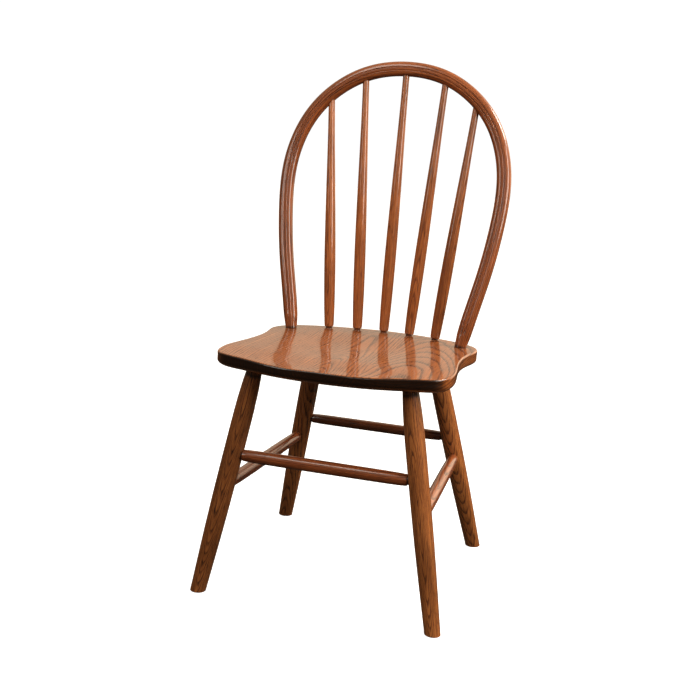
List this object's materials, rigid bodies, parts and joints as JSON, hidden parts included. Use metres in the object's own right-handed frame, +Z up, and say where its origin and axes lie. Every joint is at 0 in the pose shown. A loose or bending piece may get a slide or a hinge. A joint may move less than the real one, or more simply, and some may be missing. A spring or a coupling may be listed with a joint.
{
  "type": "bow-back side chair",
  "caption": "Wooden bow-back side chair: bent hoop with tapered spindles on a saddled plank seat, raked turned legs tied by a box of stretchers",
  "frame": {"origin": "on the floor, at the middle of the bounding box", "axes": "+Z up; the front of the chair looks along -Y; +X to the right of someone facing the chair's front"},
  "size_m": [0.4627, 0.5342, 0.9829],
  "materials": {
    "seat_oak": "stained open-grained oak under clear gloss lacquer",
    "bow_oak": "stained open-grained oak under clear gloss lacquer",
    "spindle_oak": "stained open-grained oak under clear gloss lacquer",
    "leg_oak": "stained open-grained oak under clear gloss lacquer",
    "stretcher_oak": "stained open-grained oak under clear gloss lacquer"
  },
  "bodies": {
    "root": {"seat": "seat_oak", "bow": "bow_oak", "spindle_1": "spindle_oak", "spindle_2": "spindle_oak", "spindle_3": "spindle_oak", "spindle_4": "spindle_oak", "spindle_5": "spindle_oak", "leg_front_left": "leg_oak", "leg_front_right": "leg_oak", "leg_rear_left": "leg_oak", "leg_rear_right": "leg_oak", "stretcher_front": "stretcher_oak", "stretcher_rear": "stretcher_oak", "stretcher_left": "stretcher_oak", "stretcher_right": "stretcher_oak"}
  },
  "joints": []
}
